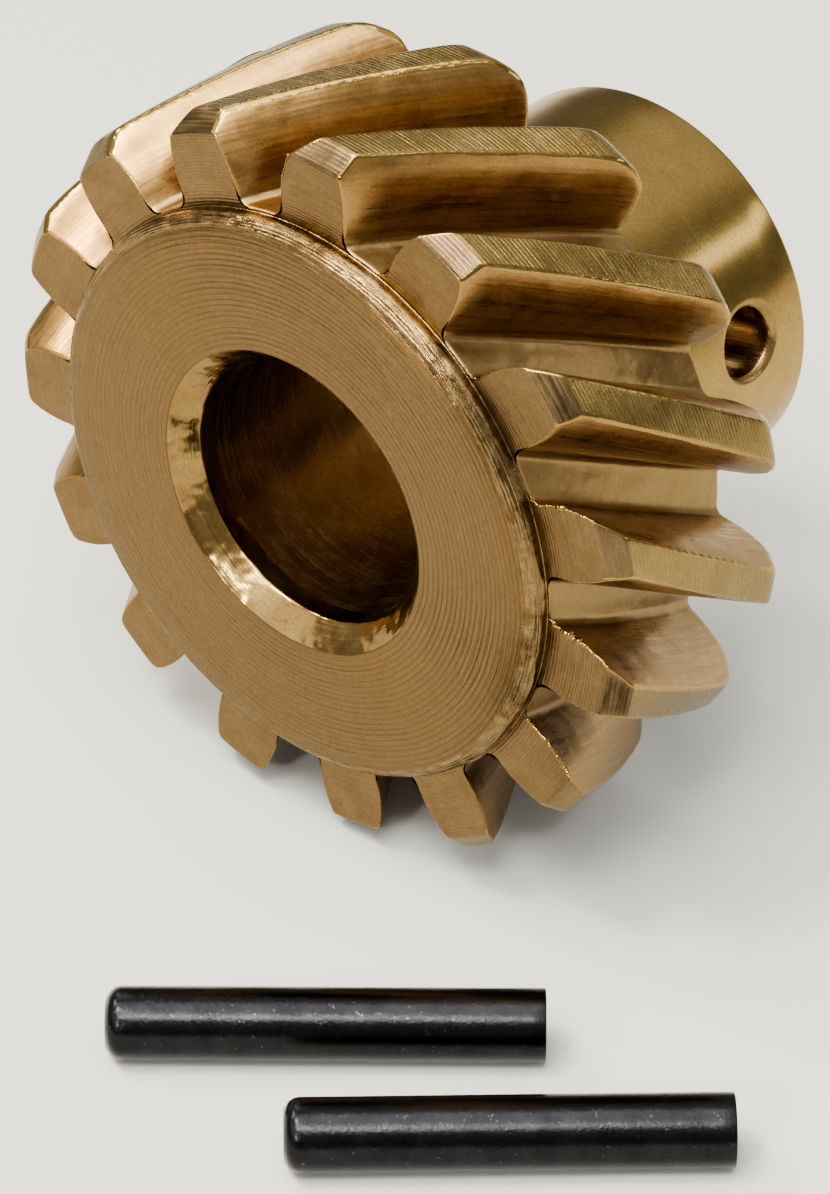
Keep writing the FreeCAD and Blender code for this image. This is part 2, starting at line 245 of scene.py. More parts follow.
# ---------------------------------------------------------------- gear, ring by ring
# The gear is a closed chain of rings, and a ring's label names the surface between the one before and it.
rings = []
labels = []
# The turn of the rings' first column at the front and at the rear.
FRONT_TURN = FIRST_GAP
REAR_TURN = FIRST_GAP + twist(TOOTH_BACK)

# The cross hole, and the blocks of the bore's and hub's grid that make way for it on both sides.
HOLE_MOUNT = mounts["cross_pin_hole"]
HOLE_Y = HOLE_MOUNT["pos_m"][1] / MM
HOLE_RADIUS = HOLE_MOUNT["dims"]["r_mm"]
HOLE_TURN = math.degrees(math.atan2(HOLE_MOUNT["axis"][2], HOLE_MOUNT["axis"][0]))
HOLE_CHAMFER = 0.3
HOLE_EASE = 0.05
HOLE_EXIT_EASE = 0.08
HOLE_SIDES = (0, 180)
BLOCK_REACH = 2.5
BLOCK_ROWS = 12
BLOCK_COLUMNS = 60
BLOCK_Y = np.linspace(HOLE_Y - BLOCK_REACH, HOLE_Y + BLOCK_REACH, BLOCK_ROWS + 1)


def add_ring(points, label):
    rings.append(points)
    labels.append(label)


def add_boss():
    """Rings for the boss's foot, wall, bevel and turned face, then the bore's mouth."""
    path = rounded([
        (FOOT_RADIUS, TOOTH_FRONT, 0),
        (FOOT_RADIUS - 0.03, TOOTH_FRONT + 0.012, 0),
        (FOOT_RADIUS - 0.07, TOOTH_FRONT, 0),
        (BOSS_RADIUS - 0.03, TOOTH_FRONT - 0.10, 0.1),
        (BOSS_RADIUS - 0.01, TOOTH_FRONT - 0.55, 0),
        (BOSS_RADIUS - 0.09, TOOTH_FRONT - 0.60, 0),
        (BOSS_RADIUS - 0.10, TOOTH_FRONT - 0.68, 0.05),
        (FACE_RADIUS + 0.06, FRONT + 0.03, 0.08),
        (FACE_RADIUS - 0.01, FRONT + 0.07, 0),
        (FACE_RADIUS - 0.08, FRONT, 0),
        (12.2, FRONT, 0),
        (10.8, FRONT, 0),
        (9.4, FRONT, 0),
        (BORE_RADIUS + MOUTH_CHAMFER, FRONT, 0.06),
        (BORE_RADIUS + MOUTH_CHAMFER * 0.5, FRONT + MOUTH_CHAMFER * 0.5, 0),
        (BORE_RADIUS, FRONT + MOUTH_CHAMFER, 0.12),
        (BORE_RADIUS, BORE_START, 0),
    ])
    for radius, y in path:
        if radius > FACE_RADIUS - 0.12:
            label = "boss_rim"
        elif radius > BORE_RADIUS + MOUTH_CHAMFER - 0.07:
            label = "boss_face"
        else:
            label = "mouth"
        if label == "boss_rim" and y < TOOTH_FRONT - 0.5:
            ragged = np.array([smooth_noise(AROUND, 2.3), smooth_noise(AROUND, 7.0)]).mean(0)
            radius = radius + RIM_WANDER * ragged
            y = y + RIM_LUMPS * (1 + ragged[::-1])
        add_ring(ring(radius, FRONT_TURN + UNIFORM, y), label)


def add_bore():
    """Rings for the bore, whose columns turn until they match the hub's.

    Returns the number of the first ring of the block around the cross hole.
    """
    for y in np.linspace(BORE_START, BLOCK_Y[0], 8)[1:-1]:
        share = (y - BORE_START) / (BLOCK_Y[0] - BORE_START)
        add_ring(ring(BORE_RADIUS, FRONT_TURN + share * (REAR_TURN - FRONT_TURN) + UNIFORM, y), "bore")
    block_start = len(rings)
    for y in BLOCK_Y:
        add_ring(ring(BORE_RADIUS, REAR_TURN + UNIFORM, y), "bore")
    return block_start


def add_hub():
    """Rings for the hub's end face, its wall and the fillet at its foot.

    Returns the number of the first ring of the block around the cross hole.
    """
    path = rounded([
        (BORE_RADIUS, BLOCK_Y[-1], 0),
        (BORE_RADIUS, BACK - EXIT_CHAMFER, 0.12),
        (BORE_RADIUS + EXIT_CHAMFER, BACK, 0.06),
        (8.2, BACK, 0),
        (HUB_RADIUS - HUB_CHAMFER, BACK, 0.06),
        (HUB_RADIUS, BACK - HUB_CHAMFER, 0.1),
        (HUB_RADIUS, BLOCK_Y[-1], 0),
    ])
    for radius, y in path[1:-1]:
        if radius < BORE_RADIUS + 0.01:
            label = "bore"
        else:
            label = "hub_end" if y > BACK - HUB_CHAMFER - 0.03 else "hub"
        add_ring(ring(radius, REAR_TURN + UNIFORM, y), label)
    block_start = len(rings)
    wall = np.linspace(BLOCK_Y[0], TOOTH_BACK + HUB_FOOT_FILLET, 8)
    for y in [*BLOCK_Y[::-1], *wall[1:]]:
        add_ring(ring(HUB_RADIUS, REAR_TURN + UNIFORM, y), "hub")
    for t in (0.33, 0.67, 1.0):
        radius = HUB_RADIUS + HUB_FOOT_FILLET * (1 - math.sqrt(1 - t * t))
        add_ring(ring(radius, REAR_TURN + UNIFORM, TOOTH_BACK + HUB_FOOT_FILLET * (1 - t)), "tooth_face")
    return block_start


def tooth_stations():
    """Pairs of y and inset from the rear face to the front face; the insets round the faces' edges.

    They lie closest where the chamfers curve.
    """
    width = TOOTH_BACK - TOOTH_FRONT
    near_face = [0.15, 0.4, 0.62, 0.75, 0.82, 0.89, 1.0]
    near_rear = {width - depth for depth in near_face[1:]} | {width - REAR_EDGE}
    middle = np.linspace(1.3, width - 1.3, 26)
    depths = sorted(set(near_face) | set(middle) | near_rear, reverse=True)
    stations = [(TOOTH_BACK - back * REAR_EDGE, inset * REAR_EDGE)
                for back, inset in ((0, 1), (0.08, 0.6), (0.29, 0.29), (0.6, 0.08))]
    stations += [(TOOTH_FRONT + depth, 0.0) for depth in depths]
    return stations + [(TOOTH_FRONT + 0.29 * FACE_EDGE, 0.29 * FACE_EDGE), (TOOTH_FRONT, FACE_EDGE)]


def add_face(y, radius, radii, angles, turn, shares):
    """Rings across a side face of the teeth, at shares of the way from a circle out to the profile."""
    for share in shares:
        start = turn + UNIFORM
        add_ring(ring(radius + share * (radii - radius), start + share * (angles - start), y), "tooth_face")


def add_teeth():
    """Rings for the rear faces, the toothed band and the front faces."""
    stations = tooth_stations()
    edges = range(2 * TEETH)
    eases = CORNER_EASE + CORNER_WANDER * np.array([smooth_noise(len(stations), 1.6) for _ in edges])
    burrs = BURR_HEIGHT * np.maximum([smooth_noise(len(stations), 1.2) for _ in edges], 0)**2
    _, radii, angles = tooth_ring(TOOTH_BACK, REAR_EDGE, eases[:, 0], burrs[:, 0])
    add_face(TOOTH_BACK, HUB_RADIUS + HUB_FOOT_FILLET, radii, angles, REAR_TURN, (0.1, 0.5, 0.93))
    for i, (y, inset) in enumerate(stations):
        points, radii, angles = tooth_ring(y, inset, eases[:, i], burrs[:, i])
        add_ring(points, "tooth_face" if i == 0 else "facet" if y < TOOTH_FRONT + TIP_CHAMFER else "band")
    add_face(TOOTH_FRONT, FOOT_RADIUS, radii, angles, FRONT_TURN, (0.93, 0.6, 0.2))


add_boss()
bore_block = add_bore()
hub_block = add_hub()
add_teeth()
labels[0] = "tooth_face"  # The last ring of the front faces joins the boss's foot.

# ---------------------------------------------------------------- gear, mesh
# The surface of each column of the toothed band's grid.
half_kinds = (["floor"] * (FLOOR_STEPS + FILLET_STEPS) + ["flank"] * FLANK_STEPS
              + ["corner"] * CORNER_STEPS + ["land"] * LAND_STEPS)
COLUMN_KINDS = (half_kinds + half_kinds[::-1]) * TEETH


def add_piece(name, mesh, weighted=True):
    """A smooth-shaded object in metres made from a mesh."""
    for polygon in mesh.polygons:
        polygon.use_smooth = True
    piece = bpy.data.objects.new(name, mesh)
    bpy.context.scene.collection.objects.link(piece)
    if weighted:
        piece.modifiers.new("even shading", "WEIGHTED_NORMAL").weight = 50
    return piece


def hole_columns(side):
    """The grid columns of the block around the cross hole, on the side given in degrees."""
    middle_column = int(round((HOLE_TURN + side - REAR_TURN) / 360.0 * AROUND))
    return range(middle_column - BLOCK_COLUMNS // 2, middle_column + BLOCK_COLUMNS // 2)


def grid_faces():
    """The quads between neighbouring rings, with their regions, without the two blocks of the cross hole."""
    faces = []
    kinds = []
    open_columns = {c % AROUND for side in HOLE_SIDES for c in hole_columns(side)}
    open_rings = {start + row for start in (bore_block, hub_block) for row in range(BLOCK_ROWS)}
    count = len(rings)
    for m in range(count):
        n = (m + 1) % count
        for c in range(AROUND):
            if m in open_rings and c in open_columns:
                continue
            d = (c + 1) % AROUND
            faces.append((m * AROUND + c, m * AROUND + d, n * AROUND + d, n * AROUND + c))
            kind = labels[n]
            if kind == "band" or (kind == "facet" and COLUMN_KINDS[c] != "land"):
                kind = COLUMN_KINDS[c]
            kinds.append(REGIONS.index(kind))
    return faces, kinds


def block_border(block, ring_at):
    """The grid's vertices around a block of columns, where ring_at gives the ring of a row."""
    first, last = block[0], block[-1] + 1
    border = [(c, 0) for c in range(first, last)]
    border += [(last, row) for row in range(BLOCK_ROWS)]
    border += [(c, BLOCK_ROWS) for c in range(last, first, -1)]
    border += [(first, row) for row in range(BLOCK_ROWS, 0, -1)]
    return [ring_at(row) * AROUND + c % AROUND for c, row in border]


def add_hole(side, vertices, faces, kinds):
    """The cross hole's wall and chamfer, and the patches that join it to the hub and the bore."""
    aim = math.radians(HOLE_TURN + side)
    axis = np.array([math.cos(aim), 0, math.sin(aim)])
    across = np.array([-math.sin(aim), 0, math.cos(aim)])

    def add_loop(u, w, out):
        """Adds vertices at u across the hole, w along y and out along its axis; returns their numbers."""
        start = len(vertices)
        points = out[:, None] * axis + u[:, None] * across + np.array([0, 1, 0]) * (w + HOLE_Y)[:, None]
        vertices.extend(tuple(p) for p in points)
        return list(range(start, start + len(points)))

    def patch(loop, surface, rim, shares):
        """Loops on a cylinder of radius surface, from a border of the grid to a circle of radius rim."""
        points = np.array([vertices[v] for v in loop])
        u, w = points @ across, points[:, 1] - HOLE_Y
        spoke = np.arctan2(w, u)
        made = []
        for share in shares:
            to_u = u + share * (rim * np.cos(spoke) - u)
            to_w = w + share * (rim * np.sin(spoke) - w)
            made.append(add_loop(to_u, to_w, np.sqrt(surface**2 - to_u**2)))
        return made, spoke

    block = hole_columns(side)
    hub_loop = block_border(block, lambda row: hub_block + BLOCK_ROWS - row)
    bore_loop = block_border(block, lambda row: bore_block + row)
    wide = HOLE_RADIUS + HOLE_CHAMFER
    loops, spoke = patch(hub_loop, HUB_RADIUS, wide + HOLE_EASE, (0.3, 0.6, 0.85, 1.0))
    chain = [hub_loop] + loops
    hub_end = len(chain) - 1
    for radius, sink in ((wide - 0.02, 0.02), (HOLE_RADIUS + HOLE_EASE, HOLE_CHAMFER - 0.03),
                         (HOLE_RADIUS, HOLE_CHAMFER + HOLE_EASE)):
        u, w = radius * np.cos(spoke), radius * np.sin(spoke)
        chain.append(add_loop(u, w, np.sqrt(HUB_RADIUS**2 - u**2) - sink))
    bore_loops, _ = patch(bore_loop, BORE_RADIUS, HOLE_RADIUS + HOLE_EXIT_EASE, (0.35, 0.7, 1.0))
    u, w = HOLE_RADIUS * np.cos(spoke), HOLE_RADIUS * np.sin(spoke)
    top = np.sqrt(HUB_RADIUS**2 - u**2) - HOLE_CHAMFER - HOLE_EASE
    bottom = np.sqrt(BORE_RADIUS**2 - u**2) + HOLE_EXIT_EASE
    for share in (0.2, 0.4, 0.6, 0.8, 1.0):
        chain.append(add_loop(u, w, top + share * (bottom - top)))
    wall_end = len(chain)
    chain += bore_loops[::-1] + [bore_loop]
    for n, (near, far) in enumerate(zip(chain, chain[1:])):
        kind = "hub" if n < hub_end else "bore" if n >= wall_end else "hole"
        for here in range(len(near)):
            after = (here + 1) % len(near)
            faces.append((near[here], near[after], far[after], far[here]))
            kinds.append(REGIONS.index(kind))


def build_gear():
    """The gear as one closed grid of rings, with the cross hole joined in."""
    vertices = [tuple(point) for loop in rings for point in loop]
    faces, kinds = grid_faces()
    for side in HOLE_SIDES:
        add_hole(side, vertices, faces, kinds)
    mesh = bpy.data.meshes.new("bronze_gear")
    mesh.from_pydata([Vector(v) * MM for v in vertices], [], faces)
    mesh.polygons.foreach_set("material_index", np.array(kinds, np.int32))
    mesh.update()
    shape = bmesh.new()
    shape.from_mesh(mesh)
    bmesh.ops.recalc_face_normals(shape, faces=shape.faces[:])
    if shape.calc_volume(signed=True) < 0:
        bmesh.ops.reverse_faces(shape, faces=shape.faces[:])
    shape.to_mesh(mesh)
    shape.free()
    return add_piece("bronze_gear", mesh)


# ---------------------------------------------------------------- materials
def node(tree, kind, **values):
    """A new node with its properties set."""
    made = tree.nodes.new(kind)
    for key, value in values.items():
        setattr(made, key, value)
    return made


def link(tree, source, target):
    tree.links.new(source, target)


def math_node(tree, operation, a, b=None):
    """A math node's output; a and b are outputs or numbers."""
    made = node(tree, "ShaderNodeMath", operation=operation)
    for socket, value in zip(made.inputs, (a, b)):
        if value is None:
            continue
        if isinstance(value, (int, float)):
            socket.default_value = value
        else:
            link(tree, value, socket)
    return made.outputs[0]


def plus(tree, a, b):
    return math_node(tree, "ADD", a, b)


def times(tree, a, b):
    return math_node(tree, "MULTIPLY", a, b)


def dot(tree, vector, towards):
    """The dot product of an output with a fixed direction."""
    made = node(tree, "ShaderNodeVectorMath", operation="DOT_PRODUCT")
    made.inputs[1].default_value = towards
    link(tree, vector, made.inputs[0])
    return made.outputs["Value"]


def scaled(tree, vector, factor):
    """A vector or colour output times a number or an output."""
    made = node(tree, "ShaderNodeVectorMath", operation="SCALE")
    link(tree, vector, made.inputs[0])
    if isinstance(factor, float):
        made.inputs["Scale"].default_value = factor
    else:
        link(tree, factor, made.inputs["Scale"])
    return made.outputs[0]


def noise(tree, vector, scale, detail=2.0, roughness=0.5, distortion=0.0):
    """Noise of about 0.3 to 0.7, with scale in features per unit of the vector."""
    made = node(tree, "ShaderNodeTexNoise")
    made.inputs["Scale"].default_value = scale
    made.inputs["Detail"].default_value = detail
    made.inputs["Roughness"].default_value = roughness
    made.inputs["Distortion"].default_value = distortion
    link(tree, vector, made.inputs["Vector"])
    return made.outputs["Fac"]


def ramp(tree, source, low, high, a=0.0, b=1.0):
    """Goes from a to b while the source goes from low to high."""
    made = node(tree, "ShaderNodeMapRange", clamp=True)
    made.inputs["From Min"].default_value = low
    made.inputs["From Max"].default_value = high
    made.inputs["To Min"].default_value = a
    made.inputs["To Max"].default_value = b
    link(tree, source, made.inputs["Value"])
    return made.outputs["Result"]


def mix_colour(tree, share, a, b):
    """Colour a with a share of colour b; the share is an output or a number."""
    made = node(tree, "ShaderNodeMix", data_type="RGBA")
    if isinstance(share, float):
        made.inputs["Factor"].default_value = share
    else:
        link(tree, share, made.inputs["Factor"])
    for name, value in (("A", a), ("B", b)):
        socket = [s for s in made.inputs if s.name == name and s.type == "RGBA"][0]
        if isinstance(value, tuple):
            socket.default_value = value
        else:
            link(tree, value, socket)
    return [s for s in made.outputs if s.type == "RGBA"][0]


def new_material(name):
    """A material with its tree, its shader and object coordinates in mm."""
    material = bpy.data.materials.new(name)
    material.use_nodes = True
    tree = material.node_tree
    place = scaled(tree, node(tree, "ShaderNodeTexCoord").outputs["Object"], 1 / MM)
    return material, tree, tree.nodes["Principled BSDF"], place


def add_bump(tree, shader, height, depth):
    """Bumps the shader by a height output times a depth in mm."""
    bump = node(tree, "ShaderNodeBump")
    bump.inputs["Strength"].default_value = 1.0
    bump.inputs["Distance"].default_value = depth * MM
    link(tree, height, bump.inputs["Height"])
    link(tree, bump.outputs[0], shader.inputs["Normal"])


def tinted(colour, red, green, blue):
    """A colour with each of its channels scaled."""
    return (colour[0] * red, colour[1] * green, colour[2] * blue, 1)


LIGHT_BRONZE = (0.335, 0.216, 0.060, 1)
DARK_BRONZE = (0.250, 0.147, 0.036, 1)
PIT_COLOUR = (0.057, 0.027, 0.0076, 1)
EDGE_TINT = (0.93, 0.86, 0.74, 1)


def bronze(name, line_pitch, line_depth, fine, stretch, streak, roughness, along_y=False, spread=0.08,
           light=LIGHT_BRONZE, dark=DARK_BRONZE, mottle=0.6, patchy=1.0, ridges_and_crest_shade=0.0, waves=0.0, lower_shade=0.0):
    """Cut bronze. Tool marks run along lines of equal radius, or of equal y where along_y is set.

    The marks have a pitch and depth in mm. Streaks change at the rate fine across the marks and
    stretch along them, and darken by the share streak. Roughness varies by spread. Light and dark
    patches have the scale mottle and the strength patchy. Ridged marks are round-bottomed grooves
    with a sharp crest whose darker colour is painted shade of the grooves; grooves and painted shade fade
    towards the lower left. Waves is the height of broad swells.
    The last argument paints shade: the colour turns darker and browner in the lower half of the gear.
    """
    material, tree, shader, place = new_material(name)
    parts = node(tree, "ShaderNodeSeparateXYZ")
    link(tree, place, parts.inputs[0])
    x, y, z = parts.outputs
    across = y if along_y else math_node(tree, "SQRT", plus(tree, times(tree, x, x), times(tree, z, z)))
    other = plus(tree, x, times(tree, y, 0.0 if along_y else 0.7))
    stretched = node(tree, "ShaderNodeCombineXYZ")
    for socket, value, rate in zip(stretched.inputs, (across, other, z), (fine, stretch, stretch)):
        link(tree, times(tree, value, rate), socket)
    streaks = noise(tree, stretched.outputs[0], 1.0, 3.0, 0.6)
    patches = noise(tree, place, mottle, 4.0, 0.6, 0.4)
    grain = noise(tree, place, 9.0, 3.0, 0.6)
    wander = noise(tree, place, 0.35, 1.0)

    colour = mix_colour(tree, ramp(tree, patches, 0.35, 0.68, 1 - patchy, 1.0), dark, light)
    line_colour = mix_colour(tree, ramp(tree, streaks, 0.36, 0.60), tinted(dark, 0.62, 0.58, 0.5), colour)
    colour = mix_colour(tree, streak, colour, line_colour)
    grain_share = ramp(tree, grain, 0.40, 0.62, 0.32, 0.0)
    colour = mix_colour(tree, grain_share, colour, tinted(dark, 0.5, 0.46, 0.4))
    pits = ramp(tree, noise(tree, place, 3.3, 2.0, 0.7), 0.70, 0.735)
    colour = mix_colour(tree, times(tree, pits, 0.7), colour, PIT_COLOUR)
    # Painted shade: the colour turns darker and browner towards the bottom of the gear.
    if lower_shade:
        lower = ramp(tree, z, -6.0, 3.0, lower_shade, 0.0)
        colour = mix_colour(tree, lower, colour, tinted(dark, 0.45, 0.40, 0.40))

    phase = plus(tree, times(tree, across, 2 * math.pi / line_pitch), times(tree, wander, 3.0))
    if ridges_and_crest_shade:
        valley = math_node(tree, "ABSOLUTE", math_node(tree, "SINE", times(tree, phase, 0.5)))
        place_share = ramp(tree, plus(tree, x, times(tree, z, 0.5)), -12, 8, 0.35, 1.0)
        depth_and_shade_share = times(tree, place_share, ramp(tree, patches, 0.3, 0.7, 0.65, 1.0))
        wave = times(tree, math_node(tree, "SUBTRACT", 0.64, valley), depth_and_shade_share)
        # Painted shade: the crests are darkened to stand in for the grooves' shading, most towards the upper
        # right.
        crest = times(tree, ramp(tree, valley, 0.0, 0.55, ridges_and_crest_shade, 0.0), depth_and_shade_share)
        colour = mix_colour(tree, crest, colour, tinted(dark, 0.35, 0.3, 0.25))
    else:
        wave = times(tree, math_node(tree, "SINE", phase), ramp(tree, patches, 0.3, 0.7, 0.25, 0.6))
    height = plus(tree, wave, times(tree, streaks, 2.2))
    height = plus(tree, height, times(tree, grain, 0.5))
    if waves:
        height = plus(tree, height, times(tree, noise(tree, place, 0.55, 2.0), waves))

    patch_spread = spread * 0.7 * patchy
    rough = plus(tree, ramp(tree, streaks, 0.3, 0.7, roughness - spread, roughness + spread),
                 ramp(tree, patches, 0.3, 0.7, -patch_spread, patch_spread))
    link(tree, colour, shader.inputs["Base Color"])
    link(tree, rough, shader.inputs["Roughness"])
    shader.inputs["Metallic"].default_value = 1.0
    shader.inputs["Specular Tint"].default_value = EDGE_TINT
    add_bump(tree, shader, height, line_depth)
    return material


# How each region of the gear was cut, and its colours, some of which hold painted shade.
FINISHES_AND_SHADE = {
    # Painted shade: the boss face gets a darker bronze than the rest, standing in for the dim surroundings
    # it reflects.
    "boss_face": dict(
        line_pitch=0.268, line_depth=0.030, fine=9.0, stretch=0.12, streak=0.12, roughness=0.28,
        light=(0.145, 0.083, 0.029, 1), dark=(0.107, 0.057, 0.018, 1), patchy=0.35, ridges_and_crest_shade=0.7),
    "boss_rim": dict(
        line_pitch=0.11, line_depth=0.020, fine=7.0, stretch=0.8, streak=0.6, roughness=0.19,
        light=(0.300, 0.200, 0.080, 1), dark=(0.115, 0.064, 0.022, 1), mottle=1.3, waves=6.0),
    "mouth": dict(
        line_pitch=0.12, line_depth=0.0013, fine=12.0, stretch=0.1, streak=0.15, roughness=0.16,
        light=(0.290, 0.188, 0.056, 1), dark=(0.175, 0.094, 0.030, 1), mottle=0.35, waves=150.0),
    "bore": dict(
        along_y=True, line_pitch=0.1, line_depth=0.0006, fine=12.0, stretch=0.1, streak=0.05, roughness=0.24,
        light=(0.310, 0.195, 0.075, 1), dark=(0.214, 0.124, 0.046, 1)),
    "hub": dict(
        along_y=True, line_pitch=0.09, line_depth=0.0006, fine=12.0, stretch=0.08, streak=0.05,
        roughness=0.17, spread=0.02, patchy=0.5),
    "hub_end": dict(
        line_pitch=0.2, line_depth=0.006, fine=9.0, stretch=0.2, streak=0.15, roughness=0.28,
        ridges_and_crest_shade=0.4),
    # Painted shade: the teeth's front faces also get a darker bronze, standing in for the dim surroundings
    # they reflect.
    "tooth_face": dict(
        line_pitch=0.15, line_depth=0.010, fine=11.0, stretch=0.25, streak=0.25, roughness=0.28,
        light=(0.177, 0.110, 0.043, 1), dark=(0.129, 0.073, 0.026, 1), ridges_and_crest_shade=0.4),
    "land": dict(
        along_y=True, line_pitch=0.19, line_depth=0.016, fine=11.0, stretch=0.4, streak=0.15, roughness=0.22,
        light=(0.278, 0.193, 0.061, 1), dark=(0.198, 0.125, 0.034, 1), ridges_and_crest_shade=0.45, lower_shade=0.6),
    "corner": dict(
        along_y=True, line_pitch=0.5, line_depth=0.008, fine=3.0, stretch=2.0, streak=0.1, roughness=0.10,
        spread=0.04, lower_shade=0.35),
    "flank": dict(
        line_pitch=0.24, line_depth=0.0012, fine=5.0, stretch=0.25, streak=0.08, roughness=0.30,
        light=(0.345, 0.199, 0.061, 1), dark=(0.250, 0.132, 0.037, 1), mottle=0.5, waves=40.0, lower_shade=0.45),
    "floor": dict(
        line_pitch=0.3, line_depth=0.008, fine=7.0, stretch=0.25, streak=0.3, roughness=0.34,
        light=(0.262, 0.168, 0.061, 1), dark=(0.196, 0.115, 0.038, 1), patchy=0.5, waves=12.0, lower_shade=0.5),
    "facet": dict(
        line_pitch=0.13, line_depth=0.006, fine=12.0, stretch=0.4, streak=0.3, roughness=0.26,
        light=(0.215, 0.142, 0.060, 1), dark=(0.080, 0.046, 0.022, 1), spread=0.12, mottle=0.22),
    "hole": dict(
        along_y=True, line_pitch=0.1, line_depth=0.003, fine=10.0, stretch=1.0, streak=0.2, roughness=0.22,
        light=(0.300, 0.180, 0.065, 1), dark=(0.220, 0.120, 0.040, 1)),
}
REGIONS = list(FINISHES_AND_SHADE)
MATERIALS = {region: bronze("bronze_" + region, **finish_and_shade) for region, finish_and_shade in FINISHES_AND_SHADE.items()}


def black_oxide(name):
    """Blackened steel, slightly mottled, with a few pale specks."""
    material, tree, shader, place = new_material(name)
    patches = noise(tree, place, 0.9, 3.0, 0.6)
    grain = noise(tree, place, 7.0, 3.0, 0.65)
    specks = ramp(tree, noise(tree, place, 4.0, 2.0, 0.7), 0.66, 0.72)
    black, worn_black = (0.0091, 0.0091, 0.0106, 1), (0.0141, 0.0139, 0.0152, 1)
    colour = mix_colour(tree, ramp(tree, patches, 0.35, 0.65), black, worn_black)
    colour = mix_colour(tree, specks, colour, (0.046, 0.044, 0.042, 1))
    link(tree, colour, shader.inputs["Base Color"])
    link(tree, ramp(tree, grain, 0.3, 0.7, 0.11, 0.26), shader.inputs["Roughness"])
    shader.inputs["Metallic"].default_value = 1.0
    add_bump(tree, shader, plus(tree, grain, patches), 0.012)
    return material


PIN_MATERIAL = black_oxide("black_oxide")

# ---------------------------------------------------------------- pins
PIN_LENGTH = 19.05
PIN_WALL = 0.7
PIN_SLOT = 0.7
PIN_EDGE = 0.07
LEAD_IN_DEPTH = 0.5
LEAD_IN_LENGTH = 0.65
# The body, the heading and the slot's turn about the pin, in degrees, for each CAD pin.
PINS = {"spring_pin_rear": ("rear_pin", 40.1, -15.0), "spring_pin_front": ("front_pin", 41.7, 18.0)}


def pin_mesh(name, radius):
    """A slotted tube along x with rounded edges, its lead-in end at -x."""
    inside = radius - PIN_WALL
    turn_steps, wall_steps = 72, 3
    slot_outside, slot_inside = [math.asin(PIN_SLOT / 2 / r) for r in (radius, inside)]
    start, end = -PIN_LENGTH / 2, PIN_LENGTH / 2
    along = [start + LEAD_IN_LENGTH * share for share in (0, 0.35, 0.7)]
    along += list(np.linspace(start + LEAD_IN_LENGTH, end, 26))
    lengths = len(along) - 1
    shape = bmesh.new()
    grid = {}
    for i, x in enumerate(along):
        into = max(0.0, 1 - (x - start) / LEAD_IN_LENGTH)
        outer = radius - 2 * LEAD_IN_DEPTH * (1 - math.sqrt(1 - 0.75 * into**2))
        for w in range(wall_steps + 1):
            r = outer + (inside - outer) * w / wall_steps
            gap = slot_outside + (slot_inside - slot_outside) * w / wall_steps
            for a in range(turn_steps + 1):
                if 0 < i < lengths and 0 < w < wall_steps and 0 < a < turn_steps:
                    continue
                angle = gap + (2 * math.pi - 2 * gap) * a / turn_steps
                corner = (x * MM, -r * math.sin(angle) * MM, r * math.cos(angle) * MM)
                grid[i, w, a] = shape.verts.new(corner)

    def quad(*corners):
        shape.faces.new([grid[corner] for corner in corners])

    for i in range(lengths):
        for a in range(turn_steps):
            for w in (0, wall_steps):
                quad((i, w, a), (i + 1, w, a), (i + 1, w, a + 1), (i, w, a + 1))
        for w in range(wall_steps):
            for a in (0, turn_steps):
                quad((i, w, a), (i + 1, w, a), (i + 1, w + 1, a), (i, w + 1, a))
    for i in (0, lengths):
        for a in range(turn_steps):
            for w in range(wall_steps):
                quad((i, w, a), (i, w, a + 1), (i, w + 1, a + 1), (i, w + 1, a))
    bmesh.ops.recalc_face_normals(shape, faces=shape.faces[:])
    sharp = [e for e in shape.edges if e.calc_face_angle(0) > math.radians(35)]
    bmesh.ops.bevel(shape, geom=sharp, offset=PIN_EDGE * MM, segments=3, profile=0.5, affect="EDGES",
                    clamp_overlap=True)
    mesh = bpy.data.meshes.new(name)
    shape.to_mesh(mesh)
    shape.free()
    return mesh


def build_pin(name, cad_node, heading, slot_turn):
    """A spring pin laid where the CAD pin lies."""
    low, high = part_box(cad_node)
    radius = (high.z - low.z) / MM / 2
    mesh = pin_mesh(name, radius)
    mesh.materials.append(PIN_MATERIAL)
    aim = math.radians(heading)
    reach_x = (PIN_LENGTH / 2 * math.cos(aim) + radius * math.sin(aim)) * MM
    reach_y = (PIN_LENGTH / 2 * math.sin(aim) + radius * math.cos(aim)) * MM
    middle = Vector((high.x - reach_x, high.y - reach_y, (low.z + high.z) / 2))
    turn = Matrix.Rotation(aim, 4, "Z") @ Matrix.Rotation(math.radians(slot_turn - 90), 4, "X")
    mesh.transform(Matrix.Translation(middle) @ turn)
    return add_piece(name, mesh)


# ---------------------------------------------------------------- burrs
def add_burr(shape, centre, width, sides=6):
    """A closed rope of the given half widths along a line of points."""
    last = len(centre) - 1
    rows = []
    for i, point in enumerate(centre):
        ahead = centre[min(i + 1, last)] - centre[max(i - 1, 0)]
        ahead /= np.linalg.norm(ahead)
        up = np.cross(ahead, (0, 1, 0))
        up /= np.linalg.norm(up)
        out = np.cross(up, ahead)
        row = []
        for k in range(sides):
            spin = 2 * math.pi * k / sides
            corner = point + max(width[i], 0.004) * (math.cos(spin) * up + math.sin(spin) * out)
            row.append(shape.verts.new(tuple(corner * MM)))
        rows.append(row)
    for low_row, high_row in zip(rows, rows[1:]):
        for k in range(sides):
            n = (k + 1) % sides
            shape.faces.new((low_row[k], low_row[n], high_row[n], high_row[k]))
    shape.faces.new(rows[0][::-1])
    shape.faces.new(rows[-1])


